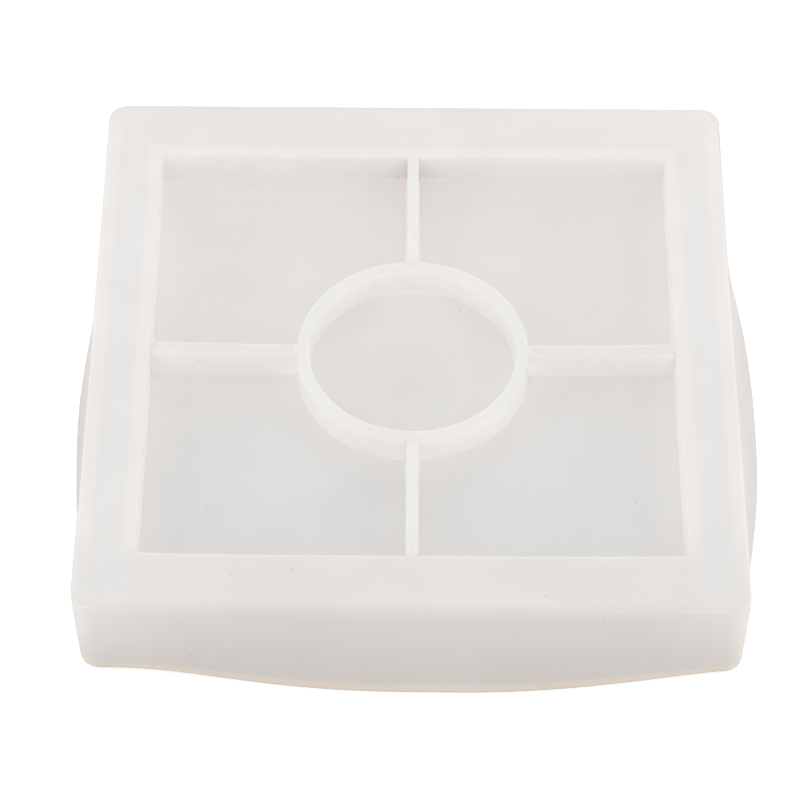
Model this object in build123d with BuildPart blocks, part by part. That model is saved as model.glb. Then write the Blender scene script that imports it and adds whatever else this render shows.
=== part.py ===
"""Square silicone casting mould for a tray, lying mouth down with its underside up.

The deck is the closed end of a channel that runs round the mould. Inside it the core drops to a thin membrane,
which a ring rib and four straight ribs stiffen. The skirt is the outer wall, and its free edge bows outwards.
"""
from build123d import *
import os

# Driving dimensions, in millimetres
WIDTH = 160.0  # outside of the deck along X
DEPTH = 162.0  # outside of the deck along Y
HEIGHT = 26.0  # mouth rim to deck face
WALL = 3.0  # every wall, rib, deck and membrane
SIDE_BAND = 14.4  # deck band beside the core, left and right
END_BAND = 16.8  # deck band beside the core, front and back
RIB_HEIGHT = 8.6  # membrane top to deck face
RING_OUTER_R = 28.9
CORNER_R = 4.0  # outside corners of deck and skirt, in plan
DECK_EDGE_R = 2.0  # rounding round the deck's outer edge
CORE_EDGE_R = 1.0  # rounding round the core's hidden edge

# How far the skirt's free edge bows out, and where along the wall the bow is greatest
BOW_FRONT = 6.0
BOW_BACK = 6.0
BOW_LEFT = 4.6
BOW_RIGHT = 6.9
BOW_FRONT_AT = 11.0
BOW_SIDE_AT = -4.0
BOW_FULLNESS = 1.5  # power of the bow's curve: lower is fuller beside the crest

# Worked out from the dimensions above
DECK_Z = HEIGHT - WALL
FLOOR_Z = HEIGHT - RIB_HEIGHT
MEMBRANE_Z = FLOOR_Z - WALL
CORE_X = WIDTH - 2 * SIDE_BAND
CORE_Y = DEPTH - 2 * END_BAND


def side_plane(side, height=0.0):
    """Plane on one outer face at the given height: its x runs along the wall and its y points inwards."""
    middles = {
        "front": (0, -DEPTH / 2),
        "right": (WIDTH / 2, 0),
        "back": (0, DEPTH / 2),
        "left": (-WIDTH / 2, 0),
    }
    along = {"front": (1, 0, 0), "right": (0, 1, 0), "back": (-1, 0, 0), "left": (0, -1, 0)}
    x, y = middles[side]
    return Plane(origin=(x, y, height), x_dir=along[side], z_dir=(0, 0, 1))


def save(piece, node):
    """Label the finished piece and write it to its own STEP file."""
    piece.part.label = node
    export_step(piece.part, f"parts/{node}.step")


def bow_points(half, bow, crest):
    """Points on the outer face at the free edge, as far along the wall and how far out."""
    points = []
    for share in (-1.0, -0.5, 0.0, 0.5, 1.0):
        reach = half + crest if share < 0 else half - crest
        points.append((crest + share * reach, -bow * (1 - share**2) ** BOW_FULLNESS))
    return points


def make_deck_end(side):
    """Front or back strip of the deck, with the mould's rounded outer corners."""
    with BuildPart() as deck:
        with BuildSketch(side_plane(side, DECK_Z)):
            with Locations((0, END_BAND / 2)):
                Rectangle(WIDTH, END_BAND)
        extrude(amount=WALL)
        outwards = Axis.Y if side == "back" else Axis((0, 0, 0), (0, -1, 0))
        fillet(deck.edges().filter_by(Axis.Z).group_by(outwards)[-1], CORNER_R)
        rim = deck.faces().sort_by(Axis.Z)[-1].edges().sort_by(outwards)[1:]
        fillet(rim, DECK_EDGE_R)
    save(deck, f"deck_{side}")


def make_deck_side(side):
    """Left or right strip of the deck, between the front and back strips."""
    with BuildPart() as deck:
        with BuildSketch(side_plane(side, DECK_Z)):
            with Locations((0, SIDE_BAND / 2)):
                Rectangle(CORE_Y, SIDE_BAND)
        extrude(amount=WALL)
        outwards = Axis.X if side == "right" else Axis((0, 0, 0), (-1, 0, 0))
        fillet(deck.edges().filter_by(Axis.Y).group_by(Axis.Z)[-1].sort_by(outwards)[-1], DECK_EDGE_R)
    save(deck, f"deck_{side}")


def make_skirt_wall(side, length, bow, crest):
    """One outer wall: straight where it meets the deck, bowed outwards at its free edge."""
    half = length / 2 - CORNER_R
    outer = bow_points(half, bow, crest)
    inner = [(x, y + WALL) for x, y in reversed(outer)]
    with BuildPart() as skirt:
        with BuildSketch(side_plane(side)):
            with BuildLine():
                face = Spline(*outer, tangents=[(1, 0), (1, 0)])
                back = Spline(*inner, tangents=[(-1, 0), (-1, 0)])
                Line(face @ 1, back @ 0)
                Line(back @ 1, face @ 0)
            make_face()
        with BuildSketch(side_plane(side, DECK_Z)):
            with Locations((0, WALL / 2)):
                Rectangle(2 * half, WALL)
        loft()
    save(skirt, f"skirt_{side}")


def make_skirt_corner(name, x, y, along):
    """Quarter tube that joins two outer walls."""
    corner = Plane(origin=(x, y, 0), x_dir=along, z_dir=(0, 0, 1))
    with BuildPart() as post:
        with BuildSketch(corner):
            Circle(CORNER_R)
            Circle(CORNER_R - WALL, mode=Mode.SUBTRACT)
            Rectangle(CORNER_R, CORNER_R, align=(Align.MIN, Align.MIN), mode=Mode.INTERSECT)
        extrude(amount=DECK_Z)
    save(post, f"skirt_corner_{name}")


def make_core_wall(side, length, band):
    """One wall of the raised core, from the deck down to the membrane's hidden face."""
    with BuildPart() as wall:
        with BuildSketch(side_plane(side, MEMBRANE_Z)):
            with Locations((0, band - WALL / 2)):
                Rectangle(length, WALL)
        extrude(amount=DECK_Z - MEMBRANE_Z)
        outwards = Axis((0, 0, 0), tuple(side_plane(side).y_dir.reverse()))
        hidden = wall.faces().sort_by(Axis.Z)[0].edges().sort_by(outwards)
        fillet(hidden[1:] if length > CORE_X else hidden[-1], CORE_EDGE_R)
    save(wall, f"core_wall_{side}")


def make_membrane_quarter(name, x_align, y_align):
    """One quarter of the thin floor, outside the ring."""
    with BuildPart() as floor:
        with BuildSketch(Plane.XY.offset(MEMBRANE_Z)):
            Rectangle(CORE_X / 2, CORE_Y / 2, align=(x_align, y_align))
            Circle(RING_OUTER_R, mode=Mode.SUBTRACT)
        extrude(amount=WALL)
    save(floor, f"membrane_{name}")


def make_membrane_centre():
    """Round middle of the thin floor, under the ring."""
    with BuildPart() as floor:
        with BuildSketch(Plane.XY.offset(MEMBRANE_Z)):
            Circle(RING_OUTER_R)
        extrude(amount=WALL)
    save(floor, "membrane_centre")


def make_ring_rib():
    """Round stiffening rib in the middle."""
    with BuildPart() as ring:
        with BuildSketch(Plane.XY.offset(FLOOR_Z)):
            Circle(RING_OUTER_R)
            Circle(RING_OUTER_R - WALL, mode=Mode.SUBTRACT)
        extrude(amount=RIB_HEIGHT)
    save(ring, "ring_rib")


def make_straight_rib(side, band, half):
    """Straight stiffening rib from one core wall to the ring."""
    with BuildPart() as rib:
        with BuildSketch(side_plane(side, FLOOR_Z)):
            with Locations((0, band)):
                Rectangle(WALL, half - band, align=(Align.CENTER, Align.MIN))
            with Locations((0, half)):
                Circle(RING_OUTER_R, mode=Mode.SUBTRACT)
        extrude(amount=RIB_HEIGHT)
    save(rib, f"rib_{side}")


os.makedirs("parts", exist_ok=True)

for end in ("front", "back"):
    make_deck_end(end)
    make_core_wall(end, CORE_X + 2 * WALL, END_BAND)
    make_straight_rib(end, END_BAND, DEPTH / 2)

for flank in ("left", "right"):
    make_deck_side(flank)
    make_core_wall(flank, CORE_Y, SIDE_BAND)
    make_straight_rib(flank, SIDE_BAND, WIDTH / 2)

# Each skirt wall's crest is measured along its own side plane
make_skirt_wall("front", WIDTH, BOW_FRONT, BOW_FRONT_AT)
make_skirt_wall("back", WIDTH, BOW_BACK, 0.0)
make_skirt_wall("left", DEPTH, BOW_LEFT, -BOW_SIDE_AT)
make_skirt_wall("right", DEPTH, BOW_RIGHT, BOW_SIDE_AT)

CORNER_X = WIDTH / 2 - CORNER_R
CORNER_Y = DEPTH / 2 - CORNER_R
make_skirt_corner("front_right", CORNER_X, -CORNER_Y, (0, -1, 0))
make_skirt_corner("back_right", CORNER_X, CORNER_Y, (1, 0, 0))
make_skirt_corner("back_left", -CORNER_X, CORNER_Y, (0, 1, 0))
make_skirt_corner("front_left", -CORNER_X, -CORNER_Y, (-1, 0, 0))

make_membrane_quarter("front_left", Align.MAX, Align.MAX)
make_membrane_quarter("front_right", Align.MIN, Align.MAX)
make_membrane_quarter("back_left", Align.MAX, Align.MIN)
make_membrane_quarter("back_right", Align.MIN, Align.MIN)
make_membrane_centre()
make_ring_rib()
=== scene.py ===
import math

import bmesh
import bpy
import numpy as np
from mathutils import Matrix, Vector


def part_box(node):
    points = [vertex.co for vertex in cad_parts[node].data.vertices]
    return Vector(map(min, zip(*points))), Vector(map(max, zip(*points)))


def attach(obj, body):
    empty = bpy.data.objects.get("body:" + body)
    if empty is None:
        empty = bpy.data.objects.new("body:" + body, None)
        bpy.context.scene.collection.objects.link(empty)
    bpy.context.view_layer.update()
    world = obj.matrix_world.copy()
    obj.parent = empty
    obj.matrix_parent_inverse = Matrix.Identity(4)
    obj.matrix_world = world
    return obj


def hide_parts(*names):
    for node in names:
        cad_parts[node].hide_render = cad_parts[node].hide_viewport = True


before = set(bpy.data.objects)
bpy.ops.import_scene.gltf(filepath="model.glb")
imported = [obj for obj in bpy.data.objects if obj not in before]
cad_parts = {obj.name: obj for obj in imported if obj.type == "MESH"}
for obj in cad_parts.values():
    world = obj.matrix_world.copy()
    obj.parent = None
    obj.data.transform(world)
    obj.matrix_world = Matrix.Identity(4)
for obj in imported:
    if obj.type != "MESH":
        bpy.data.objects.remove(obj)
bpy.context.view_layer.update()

MM = 0.001
SAME = 1e-6

# The mould's driving sizes, read from the frame
deck_front, deck_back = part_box("deck_front"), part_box("deck_back")
deck_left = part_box("deck_left")
HALF_X = deck_front[1].x
HALF_Y = deck_back[1].y
TOP = deck_front[1].z
WALL = TOP - deck_front[0].z
CORE_X = -deck_left[1].x
CORE_Y = -deck_front[1].y
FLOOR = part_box("membrane_centre")[1].z
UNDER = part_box("membrane_centre")[0].z
RING_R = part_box("ring_rib")[1].x
CORNER_R = 4.8 * MM

# Roundings
DECK_EDGE_R = 0.8 * MM
RECESS_CORNER_R = 0.9 * MM
RECESS_EDGE_R = 0.3 * MM
CHANNEL_CORNER_R = 1.6 * MM
RIB_EDGE_R = 0.65 * MM
FOOT_FILLET = 0.4 * MM
CRISP_EDGE = 0.3 * MM

# How the soft silicone lies: the core sags, the skirt's free edge bows out while its corners draw in,
# and the deck's sides draw in between its corners, with the right side slanting as well
SAG = 2.5 * MM
SAG_POWER = 4.65
CORNER_DRAW = 0.7 * MM
DECK_DRAW = 0.3 * MM
RIGHT_SLANT = 0.45 * MM
# the flare of a wall towards its free edge: its straight part and its curved part
STRAIGHT_FLARE = 0.45
CURVED_FLARE = 0.55
# how far in from the outside the skirt's movement is whole, and where it has faded away
SKIRT_REACH = (1.05 * WALL, 2.2 * WALL)
# per side: greatest bow, its place along the wall, and the curve's two powers before and after its crest
BOWS = {
    "front": (6.7 * MM, 11.7 * MM, (3.1, 2.7), (2.0, 1.3)),
    "right": (7.65 * MM, -4.2 * MM, (2.4, 1.75), (2.4, 1.75)),
    "back": (6.2 * MM, 3.0 * MM, (2.2, 1.6), (2.6, 1.9)),
    "left": (5.3 * MM, -3.2 * MM, (1.8, 1.5), (1.7, 1.9)),
}

# Mesh density: segments across a rib, along half a side, round a corner
ACROSS_RIB = 2
ALONG_SIDE = 30
ROUND_CORNER = 6
COLUMNS = 4 * (ACROSS_RIB + 2 * ALONG_SIDE + ROUND_CORNER)
# spacing round the ring of the columns that lead to a rounded corner, where the others have 1
TO_CORNER = 0.35
# Mesh density: rows of points over each surface
WALL_ROWS = 7
POCKET_ROWS = 19
DECK_ROWS = 9
EDGE_ROWS = 6
OUTSIDE_ROWS = 14
INSIDE_ROWS = 12
CEILING_ROWS = 6
CORE_ROWS = 6
UNDERSIDE_ROWS = 21
RIM_SHARES = (0.35, 0.65, 1)
DISC_SHARES = (0.06, 0.2, 0.35, 0.5, 0.65, 0.8, 0.92, 1.0)
# Edges sharper than this are rounded
SHARP = math.radians(50)
ROUNDING_SEGMENTS = 4
FLAT_FACE_WEIGHT = 80


# ---------------------------------------------------------------- loops

def quarter_square(a, b, radius):
    """Plan points of a quarter of a rounded rectangle, from the rib at +X to just before the rib at +Y."""
    half = WALL / 2
    rib = [(a, t) for t in np.linspace(-half, half, ACROSS_RIB, endpoint=False)]
    up = [(a, t) for t in np.linspace(half, b - radius, ALONG_SIDE, endpoint=False)]
    turns = np.linspace(0, math.pi / 2, ROUND_CORNER, endpoint=False)
    arc = [(a - radius + radius * math.cos(t), b - radius + radius * math.sin(t)) for t in turns]
    across = [(t, b) for t in np.linspace(a - radius, half, ALONG_SIDE, endpoint=False)]
    return rib + up + arc + across


def square_loop(half_x, half_y, radius):
    """All the way round a rounded rectangle, with one point for each column."""
    points = []
    for quarter in range(4):
        sizes = (half_x, half_y) if quarter % 2 == 0 else (half_y, half_x)
        turn = quarter * math.pi / 2
        c, s = round(math.cos(turn)), round(math.sin(turn))
        points += [(x * c - y * s, x * s + y * c) for x, y in quarter_square(*sizes, radius)]
    return np.array(points)


def circle_loop(radius):
    """All the way round a circle, with the ribs' columns a rib's width apart."""
    edge = math.asin(WALL / 2 / radius)
    weights = np.array([1.0] * ALONG_SIDE + [TO_CORNER] * ROUND_CORNER + [1.0] * ALONG_SIDE)
    shares = np.concatenate([[0], np.cumsum(weights)[:-1]]) / weights.sum()
    angles = []
    for quarter in range(4):
        base = quarter * math.pi / 2
        angles += [base - edge + 2 * edge * i / ACROSS_RIB for i in range(ACROSS_RIB)]
        angles += [base + edge + (math.pi / 2 - 2 * edge) * s for s in shares]
    return np.array([(radius * math.cos(t), radius * math.sin(t)) for t in angles])


def between(first, last, shares):
    """Loops spaced between two loops."""
    return [first + (last - first) * s for s in shares]


def at_height(loops, heights):
    """Lift plan loops to their heights, one height each or one for all."""
    heights = np.broadcast_to(heights, len(loops))
    return [np.column_stack([loop, np.full(len(loop), z)]) for loop, z in zip(loops, heights)]


IN_RIB = np.arange(COLUMNS) % (COLUMNS // 4) < ACROSS_RIB
EVERYWHERE = np.ones(COLUMNS, bool)


class Shell:
    """Collects quads between rows of points; shared points are welded at the end."""

    def __init__(self):
        self.mesh = bmesh.new()

    def band(self, rows, columns=EVERYWHERE):
        """Quads between neighbouring closed rows, in the chosen columns."""
        made = [[self.mesh.verts.new(p) for p in row] for row in rows]
        for low, high in zip(made, made[1:]):
            for i in np.flatnonzero(columns):
                j = (i + 1) % COLUMNS
                self.mesh.faces.new((low[i], low[j], high[j], high[i]))

    def grid(self, rows):
        """Quads between neighbouring open rows."""
        made = [[self.mesh.verts.new(p) for p in row] for row in rows]
        for low, high in zip(made, made[1:]):
            for i in range(len(low) - 1):
                self.mesh.faces.new((low[i], low[i + 1], high[i + 1], high[i]))

    def cap(self, row):
        """Fan from a closed row to its middle."""
        ring = [self.mesh.verts.new(p) for p in row]
        middle = self.mesh.verts.new(np.mean(row, axis=0))
        for i in range(len(ring)):
            self.mesh.faces.new((ring[i], ring[(i + 1) % len(ring)], middle))


# ---------------------------------------------------------------- shell

RING_INNER = circle_loop(RING_R - WALL)
RING_OUTER = circle_loop(RING_R)
RECESS = square_loop(CORE_X, CORE_Y, RECESS_CORNER_R)
WALL_HEIGHTS = np.linspace(FLOOR, TOP, WALL_ROWS)
POCKET_SHARES = np.linspace(0, 1, POCKET_ROWS)


def add_disc(shell, rim, height):
    """Flat round floor inside a loop."""
    loops = [rim * s for s in DISC_SHARES]
    shell.band(at_height(loops, height))
    shell.cap(at_height(loops[:1], height)[0])


def add_ring(shell):
    """Ring rib's inner wall and top, all the way round, and its outer wall between the straight ribs."""
    shell.band(at_height([RING_INNER] * len(WALL_HEIGHTS), WALL_HEIGHTS))
    shell.band(at_height(between(RING_INNER, RING_OUTER, (0, 0.5, 1)), TOP))
    shell.band(at_height([RING_OUTER] * len(WALL_HEIGHTS), WALL_HEIGHTS), ~IN_RIB)


def add_pockets(shell):
    """Floors and outer walls of the four corner pockets."""
    shell.band(at_height(between(RING_OUTER, RECESS, POCKET_SHARES), FLOOR), ~IN_RIB)
    shell.band(at_height([RECESS] * len(WALL_HEIGHTS), WALL_HEIGHTS), ~IN_RIB)


def add_ribs(shell):
    """Tops and both side walls of the four straight ribs."""
    loops = between(RING_OUTER, RECESS, POCKET_SHARES)
    shell.band(at_height(loops, TOP), IN_RIB)
    for quarter in range(4):
        start = quarter * COLUMNS // 4
        for column in (start, start + ACROSS_RIB):
            line = [loop[column] for loop in loops]
            shell.grid([[(x, y, z) for x, y in line] for z in WALL_HEIGHTS])


def add_deck(shell):
    """Deck face, from the recess to the start of its rounded outer edge."""
    outer = square_loop(HALF_X - DECK_EDGE_R, HALF_Y - DECK_EDGE_R, CORNER_R - DECK_EDGE_R)
    shell.band(at_height(between(RECESS, outer, np.linspace(0, 1, DECK_ROWS)), TOP))


def add_skirt(shell):
    """Rounded deck edge, outer wall down to the rim, and inner wall back up to the channel's ceiling."""
    ceiling = TOP - WALL
    rows = []
    for turn in np.linspace(0, math.pi / 2, EDGE_ROWS):
        inset = DECK_EDGE_R * (1 - math.sin(turn))
        loop = square_loop(HALF_X - inset, HALF_Y - inset, CORNER_R - inset)
        rows += at_height([loop], TOP - DECK_EDGE_R * (1 - math.cos(turn)))
    outer = square_loop(HALF_X, HALF_Y, CORNER_R)
    inner = square_loop(HALF_X - WALL, HALF_Y - WALL, CORNER_R - WALL)
    rows += at_height([outer] * OUTSIDE_ROWS, np.linspace(TOP - DECK_EDGE_R, 0, OUTSIDE_ROWS + 1)[1:])
    rows += at_height(between(outer, inner, RIM_SHARES), 0.0)
    rows += at_height([inner] * INSIDE_ROWS, np.linspace(0, ceiling, INSIDE_ROWS + 1)[1:])
    shell.band(rows)


def add_hidden_side(shell):
    """Channel's ceiling, the core's outer wall and the membrane's hidden face."""
    ceiling = TOP - WALL
    inner = square_loop(HALF_X - WALL, HALF_Y - WALL, CORNER_R - WALL)
    core = square_loop(CORE_X + WALL, CORE_Y + WALL, CHANNEL_CORNER_R)
    shell.band(at_height(between(inner, core, np.linspace(0, 1, CEILING_ROWS)), ceiling))
    shell.band(at_height([core] * CORE_ROWS, np.linspace(ceiling, UNDER, CORE_ROWS)))
    shell.band(at_height(between(core, RING_OUTER, np.linspace(0, 1, UNDERSIDE_ROWS)), UNDER))
    add_disc(shell, RING_OUTER, UNDER)


# ---------------------------------------------------------------- how it lies

def smoothstep(x, low, high):
    """0 below low, 1 above high, smooth in between."""
    t = np.clip((x - low) / (high - low), 0, 1)
    return t * t * (3 - 2 * t)


def bow_curve(along, half, side):
    """How far out the free edge stands at each place along one wall."""
    bow, crest, before, after = BOWS[side]
    left, right = along < crest, along >= crest
    out = np.zeros_like(along)
    for here, reach, (flat, foot) in ((left, half + crest, before), (right, half - crest, after)):
        share = np.clip(np.abs(along[here] - crest) / reach, 0, 1)
        out[here] = bow * (1 - share**flat) ** foot
    return out


def lay_down(points):
    """Move the points of the mould as made to where they lie: core sagged, skirt bowed, rim on the floor."""
    x, y, z = points.T.copy()
    ax, ay = np.clip(np.abs(x) / HALF_X, 0, 1), np.clip(np.abs(y) / HALF_Y, 0, 1)
    sag = SAG * (1 - ax**SAG_POWER) * (1 - ay**SAG_POWER)
    gap = np.minimum(HALF_X - np.abs(x), HALF_Y - np.abs(y))
    skirt = 1 - smoothstep(gap, *SKIRT_REACH)
    drop = np.clip(1 - z / TOP, 0, 1)
    flare = (STRAIGHT_FLARE * drop + CURVED_FLARE * drop**2) * skirt
    # each wall bows along its own outward direction, and the bow ends where its corners begin
    near_x = (HALF_X - np.abs(x)) < (HALF_Y - np.abs(y))
    straight_x, straight_y = HALF_X - CORNER_R, HALF_Y - CORNER_R
    out_x = np.where(x > 0, bow_curve(y, straight_y, "right"), -bow_curve(y, straight_y, "left"))
    out_y = np.where(y > 0, bow_curve(x, straight_x, "back"), -bow_curve(x, straight_x, "front"))
    narrowed = 1 - flare * CORNER_DRAW / HALF_X - (1 - drop) * (1 - ay**2) * DECK_DRAW / HALF_X
    slant = RIGHT_SLANT * np.sign(y) * ay**2 * np.where(x > 0, ax**6, 0) * (1 - drop)
    moved_x = x * narrowed + np.where(near_x, out_x, 0) * flare + slant
    moved_y = y * (1 - flare * CORNER_DRAW / HALF_Y) + np.where(near_x, 0, out_y) * flare
    moved_z = z - sag * (1 - skirt * drop)
    return np.column_stack([moved_x, moved_y, moved_z])


def round_edges(bm):
    """Mark the sharp edges for rounding, widest on the rib tops and the recess's front and back rims."""
    weight = bm.edges.layers.float.new("bevel_weight_edge")
    for edge in bm.edges:
        if edge.is_manifold and edge.calc_face_angle() > SHARP:
            lowest = min(v.co.z for v in edge.verts)
            upright = edge.verts[0].co.xy == edge.verts[1].co.xy
            beside_recess = all(abs(v.co.x) > CORE_X - SAME for v in edge.verts)
            # the upright edges, where a rib meets a wall, stay crisp
            if upright:
                edge.smooth = False
            elif lowest > TOP - SAME:
                edge[weight] = RECESS_EDGE_R / RIB_EDGE_R if beside_recess else 1.0
            elif lowest > FLOOR - SAME:
                edge[weight] = FOOT_FILLET / RIB_EDGE_R
            else:
                edge[weight] = CRISP_EDGE / RIB_EDGE_R


def build_mould():
    """The whole mould as one closed shell, with its edges rounded."""
    shell = Shell()
    add_disc(shell, RING_INNER, FLOOR)
    add_ring(shell)
    add_pockets(shell)
    add_ribs(shell)
    add_deck(shell)
    add_skirt(shell)
    add_hidden_side(shell)
    bm = shell.mesh
    bmesh.ops.remove_doubles(bm, verts=bm.verts, dist=SAME)
    bmesh.ops.recalc_face_normals(bm, faces=bm.faces)
    for face in bm.faces:
        face.smooth = True
    round_edges(bm)
    made = bpy.data.meshes.new("mould_as_made")
    bm.to_mesh(made)
    bm.free()
    mould = bpy.data.objects.new("silicone_mould", made)
    bpy.context.scene.collection.objects.link(mould)
    roundings = mould.modifiers.new("roundings", "BEVEL")
    roundings.limit_method = "WEIGHT"
    roundings.width = RIB_EDGE_R
    roundings.segments = ROUNDING_SEGMENTS
    roundings.use_clamp_overlap = False
    seen = mould.evaluated_get(bpy.context.evaluated_depsgraph_get())
    data = bpy.data.meshes.new_from_object(seen)
    mould.modifiers.clear()
    mould.data = data
    bpy.data.meshes.remove(made)
    points = np.zeros(len(data.vertices) * 3)
    data.vertices.foreach_get("co", points)
    data.vertices.foreach_set("co", lay_down(points.reshape(-1, 3)).ravel())
    flat_faces = mould.modifiers.new("flat_faces", "WEIGHTED_NORMAL")
    flat_faces.weight = FLAT_FACE_WEIGHT
    flat_faces.keep_sharp = True
    return mould


# ---------------------------------------------------------------- materials

class Tree:
    """Adds and links the nodes of one material."""

    def __init__(self, name):
        self.material = bpy.data.materials.new(name)
        self.material.use_nodes = True
        self.nodes = self.material.node_tree.nodes
        self.links = self.material.node_tree.links
        self.shader = self.nodes["Principled BSDF"]

    def plug(self, socket, value):
        """Link a socket to another's output, or give it a plain value."""
        if isinstance(value, bpy.types.NodeSocket):
            self.links.new(value, socket)
        else:
            socket.default_value = value

    def math(self, operation, *values):
        """One arithmetic step."""
        node = self.nodes.new("ShaderNodeMath")
        node.operation = operation
        for socket, value in zip(node.inputs, values):
            self.plug(socket, value)
        return node.outputs[0]

    def ramp(self, value, start, end, low=0.0, high=1.0):
        """Smooth change from low at start to high at end."""
        node = self.nodes.new("ShaderNodeMapRange")
        node.interpolation_type = "SMOOTHSTEP"
        for socket, number in zip(node.inputs, (value, start, end, low, high)):
            self.plug(socket, number)
        return node.outputs[0]

    def noise(self, vector, size, detail=2.0):
        """Noise from 0 to 1 with features about this size."""
        node = self.nodes.new("ShaderNodeTexNoise")
        self.plug(node.inputs["Vector"], vector)
        node.inputs["Scale"].default_value = 1 / size
        node.inputs["Detail"].default_value = detail
        return node.outputs[0]

    def bump(self, height, distance, strength):
        """Fine relief on the shader's normal."""
        node = self.nodes.new("ShaderNodeBump")
        self.plug(node.inputs["Height"], height)
        node.inputs["Distance"].default_value = distance
        node.inputs["Strength"].default_value = strength
        self.plug(self.shader.inputs["Normal"], node.outputs["Normal"])

    def mix(self, share, first, second):
        """Blend from one colour to another."""
        node = self.nodes.new("ShaderNodeMix")
        node.data_type = "RGBA"
        for index, value in ((0, share), (6, first), (7, second)):
            if isinstance(value, tuple):
                value = (*value, 1.0)
            self.plug(node.inputs[index], value)
        return node.outputs[2]

    def scale(self, colour, factor):
        """Brighten or darken a colour."""
        node = self.nodes.new("ShaderNodeVectorMath")
        node.operation = "SCALE"
        self.plug(node.inputs[0], colour)
        self.plug(node.inputs["Scale"], factor)
        return node.outputs[0]


# Width of the soft change of colour between the ring and what lies beside it, and how far round the
# ring its sides begin: the share of the radius that is sideways
BESIDE_RING = (1.0 * MM, 0.0)
RING_SIDES = (0.35, 0.95)


class Places:
    """Where a point of the mould is: plan distances to its walls, and its height."""

    def __init__(self, tree):
        self.point = tree.nodes.new("ShaderNodeTexCoord").outputs["Object"]
        split = tree.nodes.new("ShaderNodeSeparateXYZ")
        tree.plug(split.inputs[0], self.point)
        self.x, self.y, self.z = split.outputs
        self.ax, self.ay = tree.math("ABSOLUTE", self.x), tree.math("ABSOLUTE", self.y)
        past_x = tree.math("SUBTRACT", self.ax, HALF_X - CORNER_R)
        past_y = tree.math("SUBTRACT", self.ay, HALF_Y - CORNER_R)
        outer = self.length(tree, tree.math("MAXIMUM", past_x, 0.0), tree.math("MAXIMUM", past_y, 0.0))
        inner = tree.math("MINIMUM", tree.math("MAXIMUM", past_x, past_y), 0.0)
        self.edge = tree.math("SUBTRACT", tree.math("ADD", outer, inner), CORNER_R)
        self.recess = self.beyond(tree, CORE_X, CORE_Y)
        inside_edge = tree.math("MINIMUM", self.edge, 0.0)
        self.past_edge = tree.math("SUBTRACT", tree.math("ADD", inside_edge, TOP), self.z)
        self.radius = self.length(tree, self.ax, self.ay)
        off_ring = tree.math("ABSOLUTE", tree.math("SUBTRACT", self.radius, RING_R - WALL / 2))
        self.ring = tree.math("SUBTRACT", off_ring, WALL / 2)
        on_ring = tree.ramp(self.ring, *BESIDE_RING)
        sideways = tree.math("DIVIDE", self.ax, tree.math("MAXIMUM", self.radius, MM))
        self.ring_side = tree.math("MULTIPLY", on_ring, tree.ramp(sideways, *RING_SIDES))
        inside_ring = tree.math("SUBTRACT", RING_R - WALL / 2, self.radius)
        self.long_rib = tree.math("MAXIMUM", tree.math("SUBTRACT", self.ax, WALL / 2), inside_ring)
        self.cross_rib = tree.math("MAXIMUM", tree.math("SUBTRACT", self.ay, WALL / 2), inside_ring)
        straight = tree.math("MINIMUM", self.long_rib, self.cross_rib)
        self.rib = tree.math("MINIMUM", self.ring, straight)
        self.nook = tree.math("ADD", tree.math("ABSOLUTE", self.ring), straight)
        self.past_ring = tree.math("SUBTRACT", self.radius, RING_R)
        across = self.flatness(tree, self.ax, HALF_X)
        along = self.flatness(tree, self.ay, HALF_Y)
        unsagged = tree.math("MULTIPLY_ADD", tree.math("MULTIPLY", across, along), SAG, self.z)
        self.depth = tree.math("SUBTRACT", TOP, unsagged)

    def beyond(self, tree, half_x, half_y):
        """Plan distance outside a rectangle, negative inside it."""
        past_x, past_y = tree.math("SUBTRACT", self.ax, half_x), tree.math("SUBTRACT", self.ay, half_y)
        return tree.math("MAXIMUM", past_x, past_y)

    def length(self, tree, x, y):
        """Length of a plan vector."""
        squares = tree.math("MULTIPLY_ADD", x, x, tree.math("MULTIPLY", y, y))
        return tree.math("SQRT", squares)

    def flatness(self, tree, distance, half):
        """How much of the sag reaches this far from the middle."""
        share = tree.math("MINIMUM", tree.math("DIVIDE", distance, half), 1.0)
        return tree.math("SUBTRACT", 1.0, tree.math("POWER", share, SAG_POWER))


# Colours of the silicone, with painted light and shade worked into them
# Deck: painted shade towards the front, painted light over the skirt and core walls, painted shade over the
# hollow channel
DECK_FRONT = (0.662, 0.636, 0.616)
DECK_BACK = (0.694, 0.667, 0.645)
OVER_WALL = (0.719, 0.690, 0.671)
OVER_CHANNEL = (0.690, 0.676, 0.664)
CHANNEL_FRONT = (0.660, 0.646, 0.634)
# Membrane: painted shade, greyer over the hollow below it and darker towards the front
MEMBRANE_FRONT = (0.631, 0.623, 0.615)
MEMBRANE_BACK = (0.673, 0.650, 0.634)
# Rib tops: painted light, paler on the ring and whiter on the long ribs
RIB = (0.664, 0.640, 0.625)
RING_TOP = (0.686, 0.662, 0.646)
LONG_RIB = (0.686, 0.684, 0.676)
# Upright faces: painted light from the light passing through them, whiter on the ring's sides and in the
# nooks
FACE_TOP = (0.775, 0.758, 0.746)
FACE_FOOT = (0.785, 0.755, 0.730)
FACE_WHITE = (0.790, 0.780, 0.770)
# Skirt: front wall with painted shade low down and painted light under the deck's edge and at the corners;
# other walls with painted shade on the left and painted light on the right
SKIRT_TOP = (0.540, 0.523, 0.502)
SKIRT_LOW = (0.506, 0.480, 0.457)
SKIRT_CORNER_PAINTED_LIGHT = (0.605, 0.573, 0.547)
SKIRT_EDGE = (0.570, 0.550, 0.528)
SKIRT_LEFT = (0.525, 0.500, 0.470)
SKIRT_RIGHT = (0.575, 0.548, 0.526)
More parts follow.
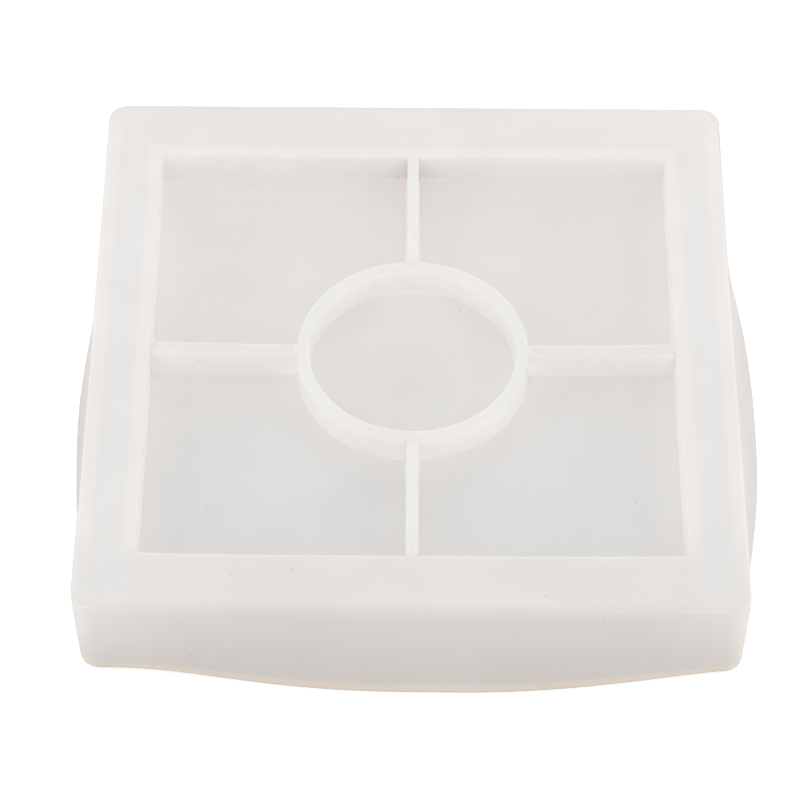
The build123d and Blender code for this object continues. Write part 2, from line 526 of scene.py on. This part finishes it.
# Rim: a painted warm glow along it and a painted contact shadow at its foot
RIM = (0.598, 0.528, 0.472)
RIM_CONTACT_SHADOW = (0.400, 0.340, 0.290)
# Painted light on the membrane: how much paler it is towards every wall, at a wall's foot and at a side
# wall's foot: the share gained at the wall, and how far the gain reaches
WALL_PAINTED_LIGHT = 0.15
WALL_PAINTED_LIGHT_REACH = 7 * MM
FOOT_PAINTED_LIGHT = 0.035
FOOT_PAINTED_LIGHT_REACH = 1.2 * MM
SIDE_FOOT_PAINTED_LIGHT = 0.02
# Painted light on the upright faces, and painted shade where a share is below 0: how much paler they are
# on the recess's side walls, near them, in the nooks between the ring and the straight ribs, on the ribs and
# on the ring
SIDE_WALL_TOP_PAINTED_SHADE = -0.02
SIDE_WALL_FOOT_PAINTED_LIGHT = 0.04
SIDE_PAINTED_LIGHT = 0.10
SIDE_PAINTED_LIGHT_REACH = 5 * MM
NOOK_PAINTED_LIGHT = 0.15
NOOK_PAINTED_LIGHT_REACH = 3.4 * MM
NOOK_PAINTED_LIGHT_TOP = 0.2
NOOK_PAINTED_LIGHT_WHITENESS = 1 / 1.5
RIB_FACE_PAINTED_LIGHT = 0.008
RING_FACE_PAINTED_LIGHT = 0.02
# Painted shade: how much darker the silicone is along the deck's outer edge and the recess's rim, and how
# far that reaches
EDGE_PAINTED_SHADE = 0.105
BACK_EDGE_PAINTED_SHADE = 0.16
RIM_PAINTED_SHADE = 0.03
EDGE_REACH = 0.8 * MM
EDGE_MIDDLE = EDGE_REACH / 3

# Where the colours change. Each pair is the start and the end of a soft change.
# the deck: its side bands, how they end at the front and back, and the strips over the two walls
SIDE_BAND = (CORE_X - 1 * MM, CORE_X + 1 * MM)
SIDE_BAND_FRONT = (-HALF_Y + 2 * MM, -HALF_Y + 5 * MM)
SIDE_BAND_BACK = (CORE_Y + 2 * MM, CORE_Y - 18 * MM)
CHANNEL_FALL = (-HALF_Y, -HALF_Y + 35 * MM)
CORE_STRIP = (1.2 * WALL, 0.85 * WALL)
SKIRT_STRIP = (-1.4 * WALL, -1.1 * WALL)
SKIRT_STRIP_BACK = (HALF_Y - 4 * MM, HALF_Y - 12 * MM)
STRIPS_FRONT = (-CORE_Y - 2 * MM, -CORE_Y + 8 * MM)
STRIPS_FRONT_SHARE = 0.1
# the ribs' tops: the white of the long ribs, where it starts past the ring, and the ring
LONG_RIB_SIDE = (0.6 * MM, 0.0)
LONG_RIB_START = (0.0, 1.5 * MM)
RING_TOP_SIDE = (0.5 * MM, 0.0)
# the recess: from its rim to the deck, down its faces, and on to its floor
RECESS_RIM = (-0.8 * MM, 0.0)
BELOW_TOP = (-0.05 * MM, 0.85 * MM)
FACE_FALL = (1.0 * MM, TOP - FLOOR)
ON_FLOOR = (TOP - FLOOR - 0.6 * MM, TOP - FLOOR - 0.05 * MM)
ON_SIDE_WALL = (CORE_X - 1.0 * MM, CORE_X - 0.3 * MM)
OUTSIDE_RING = (-0.8 * MM, -0.2 * MM)
ON_RIB = (1.0 * MM, 0.2 * MM)
# the skirt: down from the deck, along the free rim, and out to the corners
SKIRT_FALL = (TOP - 2 * MM, 4 * MM)
UNDER_EDGE = (TOP - 5 * MM, TOP - 1 * MM)
RIM_BAND = (3.2 * MM, 1.2 * MM)
RIM_CONTACT_SHADOW_BAND = (0.5 * MM, 0.1 * MM)
NEAR_CORNER = (30 * MM, 2 * MM)
AT_CORNER = (7 * MM, 1 * MM)
CORNER_SHARE = 0.5
CORNER_AT_RIM, CORNER_AT_TOP = 0.4, 1.2
FRONT_WALL = (-HALF_Y + 6 * MM, -HALF_Y + 1 * MM)
# from the deck to the skirt
CRISP_CHANGE = (-0.3 * MM, 0.4 * MM)
SOFT_CHANGE = (-1.9 * MM, 1.9 * MM)
AT_END = (HALF_Y - 6 * MM, HALF_Y - 2 * MM)
OUTER_EDGE = (-2.4 * MM, -1.6 * MM)
BACK_EDGE = (HALF_Y - 6 * MM, HALF_Y - 1 * MM)

# Clouding, dust and fine relief
NOISE_MIDDLE = (0.3, 0.7)
CLOUD_SIZE = 22 * MM
CLOUD_DETAIL = 3.0
CLOUD = 0.015
SPECK_SPACING = 8 * MM
SPECK = (0.12 * MM / SPECK_SPACING, 0.30 * MM / SPECK_SPACING)
SPECK_DARKNESS = 0.65
ROUGHNESS = (0.50, 0.60)
ROUGHNESS_SIZE = 6 * MM
RELIEF_SIZE = 1.5 * MM
RELIEF_HEIGHT = 0.15 * MM
RELIEF_STRENGTH = 0.08

# Light inside the silicone
INDEX = 1.41
GLOSS = 0.3
TRANSLUCENCY = 0.35
SCATTER_COLOUR = (1.0, 0.94, 0.88)
SCATTER_REACH = 4.0 * MM

# The table
TABLE = (0.96, 0.96, 0.96)
TABLE_PATCH = 80 * MM
TABLE_DARKEST = 0.98
TABLE_ROUGHNESS = 0.9
TABLE_GLOW = 0.15
TABLE_HALF = 3.0


def deck_colour(tree, at):
    """Painted light over the skirt and core walls, warmer and paler than the painted shade over the hollow
    channel between them, with painted shade towards the front.
    """
    base = tree.mix(tree.ramp(at.y, -HALF_Y, HALF_Y), DECK_FRONT, DECK_BACK)
    side = tree.ramp(at.ax, *SIDE_BAND)
    side = tree.math("MULTIPLY", side, tree.ramp(at.y, *SIDE_BAND_FRONT))
    side = tree.math("MULTIPLY", side, tree.ramp(at.y, *SIDE_BAND_BACK))
    channel = tree.mix(tree.ramp(at.y, *CHANNEL_FALL), CHANNEL_FRONT, OVER_CHANNEL)
    base = tree.mix(side, base, channel)
    over_core = tree.ramp(at.recess, *CORE_STRIP)
    over_skirt = tree.ramp(at.edge, *SKIRT_STRIP)
    over_skirt = tree.math("MULTIPLY", over_skirt, tree.ramp(at.y, *SKIRT_STRIP_BACK))
    walls = tree.math("MAXIMUM", over_core, over_skirt)
    share = tree.math("MULTIPLY", walls, tree.ramp(at.y, *STRIPS_FRONT, STRIPS_FRONT_SHARE, 1.0))
    return tree.mix(share, base, OVER_WALL)


def fading(tree, distance, share, reach):
    """A share that fades away with distance."""
    outward = tree.math("MAXIMUM", distance, 0.0)
    return tree.math("MULTIPLY", tree.math("EXPONENT", tree.math("DIVIDE", outward, -reach)), share)


def recess_colour(tree, at):
    """Thin membrane in painted grey shade, darker towards the front, with painted light towards every wall
    around it.
    """
    plain = tree.mix(tree.ramp(at.y, -CORE_Y, CORE_Y), MEMBRANE_FRONT, MEMBRANE_BACK)
    to_side, to_end = tree.math("SUBTRACT", CORE_X, at.ax), tree.math("SUBTRACT", CORE_Y, at.ay)
    # painted light at the side walls' feet, towards every wall and at every wall's foot
    glow = tree.math("ADD", 1.0, fading(tree, to_side, SIDE_FOOT_PAINTED_LIGHT, FOOT_PAINTED_LIGHT_REACH))
    for distance in (to_side, to_end, at.ring, at.long_rib, at.cross_rib):
        glow = tree.math("ADD", glow, fading(tree, distance, WALL_PAINTED_LIGHT, WALL_PAINTED_LIGHT_REACH))
    nearest = tree.math("MINIMUM", at.rib, tree.math("MINIMUM", to_side, to_end))
    glow = tree.math("ADD", glow, fading(tree, nearest, FOOT_PAINTED_LIGHT, FOOT_PAINTED_LIGHT_REACH))
    return tree.scale(plain, glow)


def rib_colour(tree, at):
    """Rib tops with painted light, whiter where a rib or the ring runs from front to back, paler on the
    ring.
    """
    past_ring = tree.ramp(at.past_ring, *LONG_RIB_START)
    straight = tree.math("MULTIPLY", tree.ramp(at.long_rib, *LONG_RIB_SIDE), past_ring)
    white = tree.math("MAXIMUM", straight, at.ring_side)
    plain = tree.mix(tree.ramp(at.ring, *RING_TOP_SIDE), RIB, RING_TOP)
    return tree.mix(white, plain, LONG_RIB)


def nook_painted_light(tree, at):
    """How much painted light a face gets in the nook between the ring and a straight rib, most at its foot.
    """
    nearness = fading(tree, at.nook, NOOK_PAINTED_LIGHT, NOOK_PAINTED_LIGHT_REACH)
    nook = tree.math("MULTIPLY", tree.ramp(at.past_ring, *OUTSIDE_RING), nearness)
    return tree.math("MULTIPLY", nook, tree.ramp(at.depth, 0.0, TOP - FLOOR, NOOK_PAINTED_LIGHT_TOP, 1.0))


def face_colour(tree, at):
    """Upright faces in the recess, painted paler for the light through them from their far side, with more
    painted light at their feet, by the side walls, in the nooks and on the ribs and ring.
    """
    plain = tree.mix(tree.ramp(at.depth, *FACE_FALL), FACE_TOP, FACE_FOOT)
    nook = nook_painted_light(tree, at)
    whiteness = tree.math("MAXIMUM", at.ring_side, tree.math("MULTIPLY", nook, NOOK_PAINTED_LIGHT_WHITENESS / NOOK_PAINTED_LIGHT))
    plain = tree.mix(whiteness, plain, FACE_WHITE)
    above_foot = tree.math("SUBTRACT", TOP - FLOOR, at.depth)
    # painted light at the faces' feet, on and near the side walls, in the nooks and on the ribs and ring
    glow = tree.math("ADD", 1.0, fading(tree, above_foot, FOOT_PAINTED_LIGHT, FOOT_PAINTED_LIGHT_REACH))
    on_side = tree.ramp(at.ax, *ON_SIDE_WALL)
    side_glow = tree.ramp(at.depth, 0.0, TOP - FLOOR, SIDE_WALL_TOP_PAINTED_SHADE, SIDE_WALL_FOOT_PAINTED_LIGHT)
    glow = tree.math("ADD", glow, tree.math("MULTIPLY", on_side, side_glow))
    to_side = tree.math("SUBTRACT", CORE_X, at.ax)
    glow = tree.math("ADD", glow, fading(tree, to_side, SIDE_PAINTED_LIGHT, SIDE_PAINTED_LIGHT_REACH))
    glow = tree.math("ADD", glow, nook)
    glow = tree.math("ADD", glow, tree.ramp(at.rib, *ON_RIB, 0.0, RIB_FACE_PAINTED_LIGHT))
    glow = tree.math("ADD", glow, tree.ramp(at.ring, *ON_RIB, 0.0, RING_FACE_PAINTED_LIGHT))
    return tree.scale(plain, glow)


def skirt_colour(tree, at):
    """Front wall greyer towards the free edge by painted shade, with painted light under the deck's edge and
    at the corners, a painted warm glow along the rim and a painted contact shadow at its foot; the other
    walls with painted shade on the left and painted light on the right.
    """
    fall = tree.mix(tree.ramp(at.z, *SKIRT_FALL), SKIRT_TOP, SKIRT_LOW)
    fall = tree.mix(tree.ramp(at.z, *UNDER_EDGE), fall, SKIRT_EDGE)
    in_x, in_y = tree.math("SUBTRACT", HALF_X, at.ax), tree.math("SUBTRACT", HALF_Y, at.ay)
    sideways = tree.math("MAXIMUM", in_x, in_y)
    near = tree.ramp(sideways, *NEAR_CORNER, 0.0, CORNER_SHARE)
    nearest = tree.ramp(sideways, *AT_CORNER, 0.0, CORNER_SHARE)
    up = tree.ramp(at.z, 0.0, TOP, CORNER_AT_RIM, CORNER_AT_TOP)
    corner = tree.math("MULTIPLY", tree.math("ADD", near, nearest), up)
    front = tree.ramp(at.y, *FRONT_WALL)
    # painted warm glow along the rim, painted contact shadow at its foot
    rim = tree.mix(tree.ramp(at.z, *RIM_CONTACT_SHADOW_BAND), RIM, RIM_CONTACT_SHADOW)
    wall = tree.mix(corner, fall, SKIRT_CORNER_PAINTED_LIGHT)
    wall = tree.mix(tree.ramp(at.z, *RIM_BAND), wall, rim)
    side = tree.mix(tree.ramp(at.x, -HALF_X, HALF_X), SKIRT_LEFT, SKIRT_RIGHT)
    return tree.mix(front, side, wall)


def outside_share(tree, at):
    """Where the skirt's colour takes over from the deck's: softly at its ends, crisply at its sides."""
    crisp = tree.ramp(at.past_edge, *CRISP_CHANGE)
    soft = tree.ramp(at.past_edge, *SOFT_CHANGE)
    at_end = tree.ramp(at.ay, *AT_END)
    at_side = tree.math("SUBTRACT", 1.0, at_end)
    share = tree.math("ADD", tree.math("MULTIPLY", soft, at_end), tree.math("MULTIPLY", crisp, at_side))
    return tree.math("MULTIPLY", share, tree.ramp(at.edge, *OUTER_EDGE))


def dust(tree, at):
    """A few tiny dark specks."""
    node = tree.nodes.new("ShaderNodeTexVoronoi")
    tree.plug(node.inputs["Vector"], at.point)
    node.inputs["Scale"].default_value = 1 / SPECK_SPACING
    return tree.ramp(node.outputs["Distance"], *SPECK, SPECK_DARKNESS, 1.0)


def region_colour(tree, at):
    """The colour of each region, painted light and shade included: rib tops and deck, upright faces,
    membrane, and skirt.
    """
    tops = tree.mix(tree.ramp(at.recess, *RECESS_RIM), rib_colour(tree, at), deck_colour(tree, at))
    faces = tree.mix(tree.ramp(at.depth, *BELOW_TOP), tops, face_colour(tree, at))
    inside = tree.mix(tree.ramp(at.depth, *ON_FLOOR), faces, recess_colour(tree, at))
    return tree.mix(outside_share(tree, at), inside, skirt_colour(tree, at))


def shading(tree, at):
    """Clouding and dust, and painted shade: the darker lines along the deck's outer edge and the recess's
    rim.
    """
    clouding = tree.noise(at.point, CLOUD_SIZE, CLOUD_DETAIL)
    shade = tree.ramp(clouding, *NOISE_MIDDLE, 1 - CLOUD, 1 + CLOUD)
    off_edge = tree.math("ABSOLUTE", tree.math("SUBTRACT", at.past_edge, EDGE_MIDDLE))
    # painted shade along the deck's outer edge, deepest at the back, and along the recess's rim
    edge_shade = tree.ramp(at.y, *BACK_EDGE, EDGE_PAINTED_SHADE, BACK_EDGE_PAINTED_SHADE)
    shade = tree.math("SUBTRACT", shade, fading(tree, off_edge, edge_shade, EDGE_REACH))
    off_rim = tree.math("ADD", tree.math("ABSOLUTE", at.recess), at.depth)
    shade = tree.math("SUBTRACT", shade, fading(tree, off_rim, RIM_PAINTED_SHADE, EDGE_REACH))
    return tree.math("MULTIPLY", shade, dust(tree, at))


def silicone():
    """Milky translucent silicone: thin parts greyer by painted shade, edges and ribs paler by painted light,
    with painted shade lining the deck's outer edge and the recess's rim, faint clouding and dust.
    """
    tree = Tree("silicone")
    at = Places(tree)
    inputs = tree.shader.inputs
    tree.plug(inputs["Base Color"], tree.scale(region_colour(tree, at), shading(tree, at)))
    patches = tree.noise(at.point, ROUGHNESS_SIZE)
    tree.plug(inputs["Roughness"], tree.ramp(patches, *NOISE_MIDDLE, *ROUGHNESS))
    tree.bump(tree.noise(at.point, RELIEF_SIZE), RELIEF_HEIGHT, RELIEF_STRENGTH)
    inputs["IOR"].default_value = INDEX
    inputs["Specular IOR Level"].default_value = GLOSS
    inputs["Subsurface Weight"].default_value = TRANSLUCENCY
    inputs["Subsurface Radius"].default_value = SCATTER_COLOUR
    inputs["Subsurface Scale"].default_value = SCATTER_REACH
    return tree.material


def pale_floor():
    """Plain white table, very slightly uneven."""
    tree = Tree("pale_floor")
    point = tree.nodes.new("ShaderNodeTexCoord").outputs["Object"]
    shade = tree.ramp(tree.noise(point, TABLE_PATCH), *NOISE_MIDDLE, TABLE_DARKEST, 1.0)
    tree.plug(tree.shader.inputs["Base Color"], tree.scale(TABLE, shade))
    tree.shader.inputs["Roughness"].default_value = TABLE_ROUGHNESS
    tree.shader.inputs["Emission Color"].default_value = (1, 1, 1, 1)
    tree.shader.inputs["Emission Strength"].default_value = TABLE_GLOW
    return tree.material


# ---------------------------------------------------------------- stage

# The camera: how steeply it looks down, how far it is turned and tilted, how far away it is, and how
# far the middle of the deck is from the middle of the view
ELEVATION = math.radians(51.03)
AZIMUTH = math.radians(0.088)
ROLL = math.radians(-0.4535)
DISTANCE = 829.5 * MM
AIM_RIGHT = 3.07 * MM
AIM_UP = 14.4 * MM
LENS = 150.4
SENSOR = 36.0
FAR = 20.0

# The lights: strength of the bright room; the overhead light's place, size and power; and how far
# out and how high the side lights stand, with their size and power
ROOM = 0.85
OVERHEAD = ((0.0, 0.25, 1.3), 1.2, 1.0)
SIDE_LIGHT = (1.15, 0.5, 1.0, 3.5)
SIDE_LIGHTS = (("front", 0, -1), ("back", 0, 1), ("left", -1, 0), ("right", 1, 0))


def add_floor():
    """Large plain floor under the rim."""
    bm = bmesh.new()
    signs = ((-1, -1), (1, -1), (1, 1), (-1, 1))
    bm.faces.new([bm.verts.new((x * TABLE_HALF, y * TABLE_HALF, 0)) for x, y in signs])
    data = bpy.data.meshes.new("floor")
    bm.to_mesh(data)
    bm.free()
    floor = bpy.data.objects.new("floor", data)
    bpy.context.scene.collection.objects.link(floor)
    data.materials.append(pale_floor())


def add_camera():
    """Long lens, looking down at the deck from the front."""
    right = Vector((math.cos(AZIMUTH), -math.sin(AZIMUTH), 0))
    level = Vector((math.sin(AZIMUTH), math.cos(AZIMUTH), 0))
    forward = level * math.cos(ELEVATION) - Vector((0, 0, 1)) * math.sin(ELEVATION)
    up = right.cross(forward)
    place = Vector((0, 0, TOP)) - forward * DISTANCE - up * AIM_UP - right * AIM_RIGHT
    side = right * math.cos(ROLL) - up * math.sin(ROLL)
    over = right * math.sin(ROLL) + up * math.cos(ROLL)
    data = bpy.data.cameras.new("camera")
    data.sensor_width = SENSOR
    data.lens = LENS
    data.clip_end = FAR
    camera = bpy.data.objects.new("camera", data)
    bpy.context.scene.collection.objects.link(camera)
    rotation = np.array([side, over, -forward]).T
    camera.rotation_mode = "QUATERNION"
    camera.rotation_quaternion = Matrix(rotation.tolist()).to_quaternion()
    camera.location = place
    bpy.context.scene.camera = camera


def add_area_light(name, place, size, power):
    """Square soft light aimed at the mould."""
    data = bpy.data.lights.new(name, "AREA")
    data.shape = "SQUARE"
    data.size = size
    data.energy = power
    light = bpy.data.objects.new(name, data)
    light.location = place
    light.rotation_mode = "QUATERNION"
    light.rotation_quaternion = (-Vector(place)).to_track_quat("-Z", "Y")
    bpy.context.scene.collection.objects.link(light)


def add_lights():
    """Bright even room with a large soft light overhead and a low one on each side."""
    world = bpy.data.worlds.new("studio")
    world.use_nodes = True
    background = world.node_tree.nodes["Background"]
    background.inputs["Color"].default_value = (1, 1, 1, 1)
    background.inputs["Strength"].default_value = ROOM
    bpy.context.scene.world = world
    add_area_light("overhead", *OVERHEAD)
    out, height, size, power = SIDE_LIGHT
    for name, across, along in SIDE_LIGHTS:
        add_area_light(name, (out * across, out * along, height), size, power)


add_camera()
add_lights()
add_floor()
mould = build_mould()
mould.data.materials.append(silicone())
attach(mould, "root")
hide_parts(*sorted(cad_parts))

bpy.context.scene.view_settings.view_transform = "Standard"
